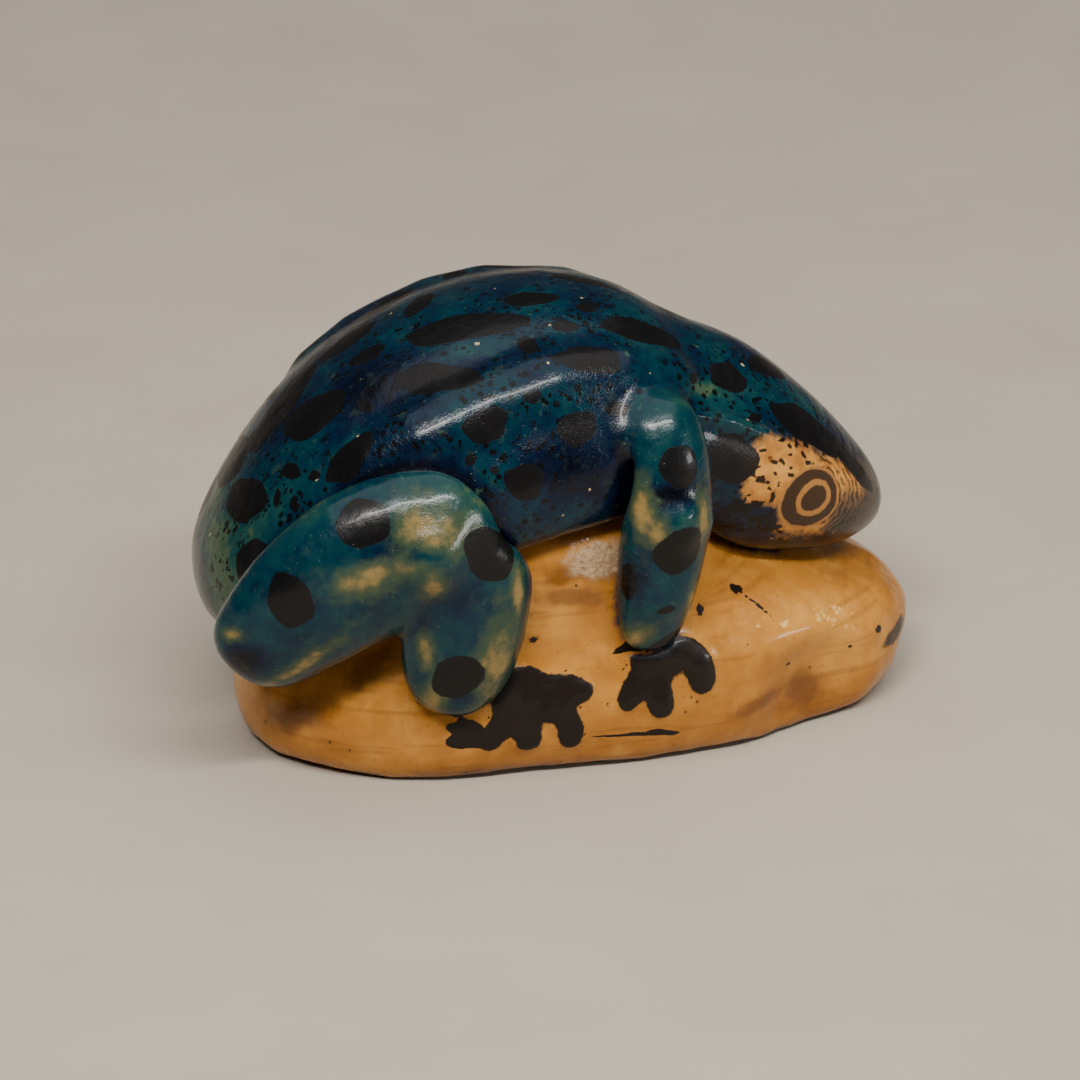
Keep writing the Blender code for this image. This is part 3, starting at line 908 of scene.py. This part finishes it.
def dyed_colour(net):
    """Dye in the nut: navy where it pooled, teal and olive where it is thin."""
    tone = net.attribute("tone")
    limb = net.step(net.attribute("limb"), -0.1, 0.1)
    depth = net.plus(net.times(net.noise(4.5, 11, 3), 1.0), net.times(net.noise(0.8, 12, 4), 0.5))
    depth = net.plus(net.plus(depth, -0.27), tone)
    depth = net.plus(depth, net.times(limb, 0.14))
    pooled = net.times(net.step(net.attribute("deep"), 0.0, -0.22), -0.55)
    worn = net.times(net.step(net.attribute("deep"), 0.10, 0.30), 0.16)
    depth = net.plus(net.plus(depth, pooled), worn)
    colour = net.ramp(depth, DYE)
    brushed = net.plus(net.times(net.noise(1.6, 13, 4), 1.1), net.times(net.noise(0.5, 26, 3), 0.5))
    thin = net.plus(net.attribute("bare"), net.plus(brushed, -0.8))
    colour = net.mix(net.times(net.step(thin, 0.10, 0.60), 0.85), colour, OLIVE)
    colour = net.mix(net.times(net.step(thin, 0.55, 1.20), 0.75), colour, TAN)
    missed = net.step(net.plus(net.noise(0.55, 14, 3), net.times(tone, 0.05)), 0.64, 0.74)
    colour = net.mix(net.times(missed, 0.5), colour, MISSED_DYE)
    body = net.math("SUBTRACT", 1.0, limb)
    specks = net.step(net.noise(0.42, 15, 1), 0.615, 0.65)
    drops = net.step(net.plus(net.cells(0.85, 16), net.times(net.noise(0.3, 17), 0.16)), 0.37, 0.33)
    specks = net.times(net.math("MAXIMUM", specks, drops), net.step(net.noise(2.6, 18), 0.38, 0.50))
    colour = net.mix(net.times(specks, net.times(body, 0.93)), colour, BLACK)
    chips = net.step(net.plus(net.cells(2.4, 19), net.times(net.noise(0.2, 20, 3), 0.22)), 0.165, 0.145)
    return net.mix(net.times(chips, net.times(body, 0.8)), colour, CHIP)


def head_drawing(net, colour):
    """The bare cheek, the rings of the eye and the burnt strokes round it."""
    ragged = net.plus(net.noise(0.5, 21, 3), -0.5)
    broad = net.plus(net.noise(2.0, 24, 3), -0.5)
    border = net.plus(net.times(ragged, 0.35), net.times(broad, 0.5))
    bare = net.step(net.plus(net.attribute("cheek"), border), 0.24, 0.58)
    skin = net.ramp(net.noise(1.2, 22, 3), CHEEK_NUT)
    colour = net.mix(bare, colour, skin)
    smear = net.plus(net.attribute("smear"), net.times(ragged, 0.5))
    colour = net.mix(net.times(net.step(smear, 0.20, 0.60), 0.88), colour, SMEAR)
    wander = net.times(ragged, 0.24)
    rim = net.plus(net.attribute("rim"), wander)
    iris = net.plus(net.attribute("iris"), wander)
    pupil = net.step(net.plus(net.attribute("pupil"), wander), 0.06, -0.06)
    colour = net.mix(net.step(rim, 0.35, 0.10), colour, EYE_HALO)
    ring = net.times(net.step(iris, -0.06, 0.06), net.step(rim, 0.06, -0.06))
    line = net.plus(rim, net.times(net.plus(net.noise(1.2, 23), -0.5), 1.0))
    line = net.plus(net.math("PINGPONG", line, 0.24), net.times(ragged, 0.10))
    arcs = net.times(net.step(line, 0.10, 0.16), net.step(rim, 0.12, 0.25))
    arcs = net.times(net.times(arcs, net.step(net.attribute("ahead"), 0.5, 1.6)), net.step(rim, 3.4, 2.2))
    arcs = net.times(arcs, net.step(net.noise(0.8, 25, 2), 0.34, 0.50))
    strokes = net.step(net.plus(net.attribute("stroke"), net.times(ragged, 0.16)), 0.04, -0.04)
    burnt = net.math("MAXIMUM", net.math("MAXIMUM", pupil, ring), net.times(arcs, 0.85))
    colour = net.mix(net.times(burnt, 0.93), colour, BURNT)
    return net.mix(net.times(strokes, 0.97), colour, BLACK)


def nut_material(name, scatter, gloss):
    """One finish of the carved nut.  The masks change from dyed to bare nut where the dye ends,
    so that two pieces with different finishes look alike along the seam that they share."""
    material = bpy.data.materials.new(name)
    material.use_nodes = True
    net = Net(material.node_tree)
    ragged = net.plus(net.noise(0.45, 31, 4), -0.5)
    wide = net.plus(net.noise(1.7, 32, 3), -0.5)

    edge = net.plus(net.attribute("dye"), net.plus(net.times(ragged, 0.35), net.times(wide, 0.5)))
    dyed = net.step(edge, 0.30, 0.12)
    colour = net.mix(dyed, rock_colour(net), head_drawing(net, dyed_colour(net)))
    bleed = net.times(net.step(edge, 0.55, 0.22), net.step(edge, -0.25, 0.12))
    colour = net.mix(net.times(bleed, 0.72), colour, DYE_EDGE)

    ink = net.plus(net.least(net.attribute("ink"), net.attribute("paint")), net.times(ragged, 0.26))
    inked = net.step(ink, 0.05, -0.05)
    film = net.mix(net.times(net.noise(0.25, 33, 3), 0.8), BLACK, WORN_BLACK)
    colour = net.mix(net.times(inked, 0.985), colour, film)

    limb = net.step(net.attribute("limb"), -0.1, 0.1)
    grain = net.noise(0.13, 34, 2)
    scratches = net.noise(0.16, 35, 2, net.stretched((1, 0.06, 0.5), (0.3, 0.5, 0.4)))
    chalky = net.step(net.attribute("rough"), 0.25, 0.6)
    rough = net.plus(gloss, net.times(grain, 0.10))
    rough = net.plus(rough, net.times(inked, 0.10))
    rough = net.plus(rough, net.times(chalky, 0.3))
    rough = net.plus(rough, net.times(net.step(net.noise(2.6, 36, 3), 0.5, 0.75), 0.14))

    sparkle = net.times(net.times(dyed, net.plus(1.0, net.times(limb, -0.8))), SPARKLE_RELIEF)
    relief = net.times(grain, net.plus(GRAIN_RELIEF, sparkle))
    relief = net.plus(relief, net.times(scratches, SCRATCH_RELIEF))
    relief = net.plus(relief, net.times(net.noise(0.9, 37, 3), SWELL_RELIEF))
    relief = net.plus(relief, net.times(inked, INK_RELIEF))
    relief = net.plus(relief, net.times(net.times(chalky, net.noise(0.35, 38, 4)), CHALK_RELIEF))
    hammered = net.times(net.attribute("hammered"), net.noise(0.5, 40, 3))
    relief = net.plus(relief, net.times(hammered, HAMMERED_RELIEF))
    pits = net.step(net.cells(0.8, 39), 0.12, 0.05)
    relief = net.plus(relief, net.times(pits, PIT_RELIEF))
    bump = net.add("Bump", {"Strength": 1.0, "Distance": MM, "Height": relief})

    shader = material.node_tree.nodes["Principled BSDF"].inputs
    links = material.node_tree.links
    links.new(colour, shader["Base Color"])
    links.new(rough, shader["Roughness"])
    links.new(bump, shader["Normal"])
    shader["IOR"].default_value = IOR
    shader["Specular IOR Level"].default_value = SPECULAR
    shader["Subsurface Weight"].default_value = scatter
    shader["Subsurface Radius"].default_value = SCATTER_BY_COLOUR
    shader["Subsurface Scale"].default_value = SCATTER_DISTANCE
    shader["Coat Weight"].default_value = COAT
    shader["Coat Roughness"].default_value = COAT_ROUGHNESS
    shader["Coat IOR"].default_value = IOR
    return material


def floor_material():
    material = bpy.data.materials.new("pale_floor")
    material.use_nodes = True
    net = Net(material.node_tree)
    colour = net.mix(net.noise(14, 41, 4), *FLOOR)
    shader = material.node_tree.nodes["Principled BSDF"].inputs
    material.node_tree.links.new(colour, shader["Base Color"])
    shader["Roughness"].default_value = 0.85
    return material


# ---------------------------------------------------------------- the pieces

# How much each finish scatters light inside, and its roughness.
FINISHES = {
    "bare_nut": nut_material("bare_nut", 0.22, 0.17),
    "dyed_nut": nut_material("dyed_nut", 0.03, 0.15),
    "black_ink": nut_material("black_ink", 0.05, 0.22),
}
MARKS = attributes()
for node in NODES:
    piece(node, FINISHES[SLOTS[node]], MARKS)


# ---------------------------------------------------------------- camera, light and floor

CAMERA_AZIMUTH = -15.0      # degrees round from the frog's right side, towards its back
CAMERA_ELEVATION = 24.0
CAMERA_DISTANCE = 0.38
FIELD_WIDTH = 0.0755        # how much the camera sees across at that distance
AIM = Vector((-0.0005, 0, 0.0122))
LIGHT_COLOUR = (1.0, 0.97, 0.93)
ROOM_COLOUR = (0.06, 0.059, 0.057)
FLOOR_SIZE = 2

# Each softbox: azimuth, elevation, distance, power, width and depth.
LIGHTS = {
    "strip": (0, 52, 0.45, 2.1, 0.42, 0.028),
    "rear": (-32, 46, 0.45, 0.8, 0.14, 0.06),
    "side": (50, 15, 0.45, 0.45, 0.10, 0.05),
    "overhead": (-10, 82, 0.60, 4.2, 1.00, 1.00),
}


def direction(azimuth, elevation):
    """Towards a place so many degrees round from the frog's right side, and so high."""
    azimuth, elevation = math.radians(azimuth), math.radians(elevation)
    return Vector((math.sin(azimuth) * math.cos(elevation), -math.cos(azimuth) * math.cos(elevation),
                   math.sin(elevation)))


def add_camera():
    back = direction(CAMERA_AZIMUTH, CAMERA_ELEVATION)
    data = bpy.data.cameras.new("camera")
    data.sensor_width = 36
    data.lens = data.sensor_width * CAMERA_DISTANCE / FIELD_WIDTH
    data.clip_start = 0.01
    camera = bpy.data.objects.new("camera", data)
    camera.location = AIM + back * CAMERA_DISTANCE
    camera.rotation_euler = back.to_track_quat("Z", "Y").to_euler()
    bpy.context.scene.collection.objects.link(camera)
    bpy.context.scene.camera = camera


def add_light(name, azimuth, elevation, distance, energy, width, depth):
    """A softbox that faces the frog, its width level."""
    data = bpy.data.lights.new(name, "AREA")
    data.shape = "RECTANGLE"
    data.energy = energy
    data.size = width
    data.size_y = depth
    data.color = LIGHT_COLOUR
    light = bpy.data.objects.new(name, data)
    towards = direction(azimuth, elevation)
    light.location = towards * distance
    light.rotation_euler = towards.to_track_quat("Z", "Y").to_euler()
    bpy.context.scene.collection.objects.link(light)


def add_room():
    world = bpy.data.worlds.new("room")
    world.use_nodes = True
    world.node_tree.nodes["Background"].inputs["Color"].default_value = (*ROOM_COLOUR, 1)
    bpy.context.scene.world = world
    bpy.ops.mesh.primitive_plane_add(size=FLOOR_SIZE)
    floor = bpy.context.object
    floor.name = "floor"
    floor.data.materials.append(floor_material())


add_camera()
for light, placing in LIGHTS.items():
    add_light(light, *placing)
add_room()
